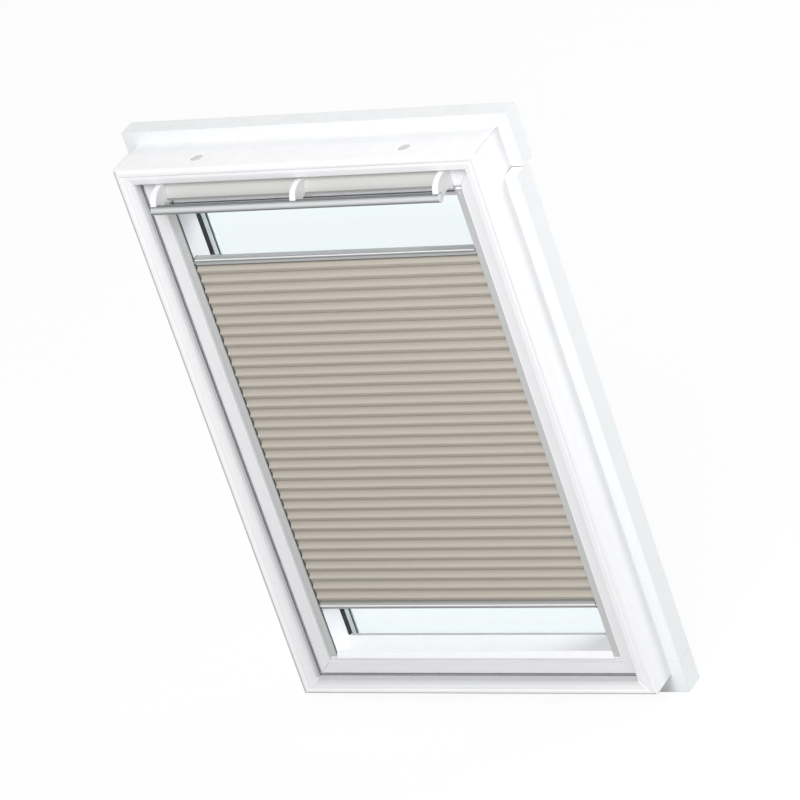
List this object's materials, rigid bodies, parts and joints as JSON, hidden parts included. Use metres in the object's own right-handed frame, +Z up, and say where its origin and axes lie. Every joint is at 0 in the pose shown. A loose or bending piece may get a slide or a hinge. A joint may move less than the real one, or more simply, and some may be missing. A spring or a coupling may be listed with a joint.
{
  "type": "roof window with pleated blind",
  "caption": "Centre-pivot roof window with a ventilation flap and control bar, double glazing, and a double pleated blind whose two bars slide on rails in the sash.",
  "frame": {"origin": "middle of the flat bottom face of the outer frame, half way through its depth", "axes": "+Z up the slope of the roof along the window's height, +Y outwards through the roof, +X to the right as seen from the room"},
  "size_m": [0.834, 0.1795, 1.245],
  "materials": {
    "white_coating": "smooth satin white coating",
    "flap_white": "satin warm white",
    "cover_sheet": "light grey lacquered sheet",
    "brushed_aluminium": "satin anodised",
    "bar_aluminium": "polished anodised",
    "satin_steel": "satin",
    "dark_plastic": "fine grain",
    "black_rubber": "matt",
    "spacer_grey": "matt",
    "window_glass": "clear",
    "pleated_cloth": "woven polyester, taupe",
    "cord_grey": "braided"
  },
  "bodies": {
    "frame": {"frame_top_member": "white_coating", "frame_bottom_member": "white_coating", "frame_left_member": "white_coating", "frame_right_member": "white_coating", "frame_seal": "black_rubber", "pivot_bearing_left": "dark_plastic", "pivot_bearing_right": "dark_plastic", "striker_plate": "satin_steel", "frame_screw_plug_left": "white_coating", "frame_screw_plug_right": "white_coating", "side_cladding_left": "cover_sheet", "side_cladding_right": "cover_sheet", "bottom_cladding": "cover_sheet", "top_casing": "cover_sheet", "casing_screw_left": "satin_steel", "casing_screw_right": "satin_steel"},
    "sash": {"sash_top_rail": "white_coating", "sash_bottom_rail": "white_coating", "sash_left_stile": "white_coating", "sash_right_stile": "white_coating", "air_filter": "dark_plastic", "inner_pane": "window_glass", "outer_pane": "window_glass", "glass_spacer": "spacer_grey", "inner_glazing_gasket": "black_rubber", "outer_glazing_gasket": "black_rubber", "sash_cover_top": "cover_sheet", "sash_cover_bottom": "cover_sheet", "sash_cover_left": "cover_sheet", "sash_cover_right": "cover_sheet", "pivot_pin_left": "satin_steel", "pivot_pin_right": "satin_steel", "lock_case": "dark_plastic", "flap_lug_left": "white_coating", "flap_lug_right": "white_coating", "guide_rail_left": "brushed_aluminium", "guide_rail_right": "brushed_aluminium", "rail_stop_left_lower": "white_coating", "rail_stop_left_upper": "white_coating", "rail_stop_right_lower": "white_coating", "rail_stop_right_upper": "white_coating", "tension_cord_left": "cord_grey", "tension_cord_right": "cord_grey", "pleated_fabric": "pleated_cloth"},
    "flap": {"vent_flap": "flap_white", "control_bar": "bar_aluminium", "bar_arm_left": "white_coating", "bar_arm_middle": "white_coating", "bar_arm_right": "white_coating", "flap_pivot_pin_left": "dark_plastic", "flap_pivot_pin_right": "dark_plastic"},
    "latch": {"latch_bolt": "satin_steel"},
    "blind_top": {"blind_top_bar": "brushed_aluminium", "blind_top_end_cap_left": "dark_plastic", "blind_top_end_cap_right": "dark_plastic"},
    "blind_bottom": {"blind_bottom_bar": "brushed_aluminium", "blind_bottom_end_cap_left": "dark_plastic", "blind_bottom_end_cap_right": "dark_plastic"}
  },
  "joints": [
    {"name": "sash_pivot", "type": "hinge", "parent": "frame", "child": "sash", "pos_m": [0, 0.014, 0.59], "axis": [1, 0, 0], "range_deg": [0, 160]},
    {"name": "flap_pivot", "type": "hinge", "parent": "sash", "child": "flap", "pos_m": [0, -0.0325, 1.1065], "axis": [1, 0, 0], "range_deg": [0, 45]},
    {"name": "latch_slide", "type": "slide", "parent": "sash", "child": "latch", "axis": [0, 0, 1], "range_m": [0, 0.01]},
    {"name": "top_bar_slide", "type": "slide", "parent": "sash", "child": "blind_top", "axis": [0, 0, 1], "range_m": [-0.33, 0.105], "deforming": ["pleated_fabric"]},
    {"name": "bottom_bar_slide", "type": "slide", "parent": "sash", "child": "blind_bottom", "axis": [0, 0, 1], "range_m": [-0.095, 0.33], "deforming": ["pleated_fabric"]}
  ]
}
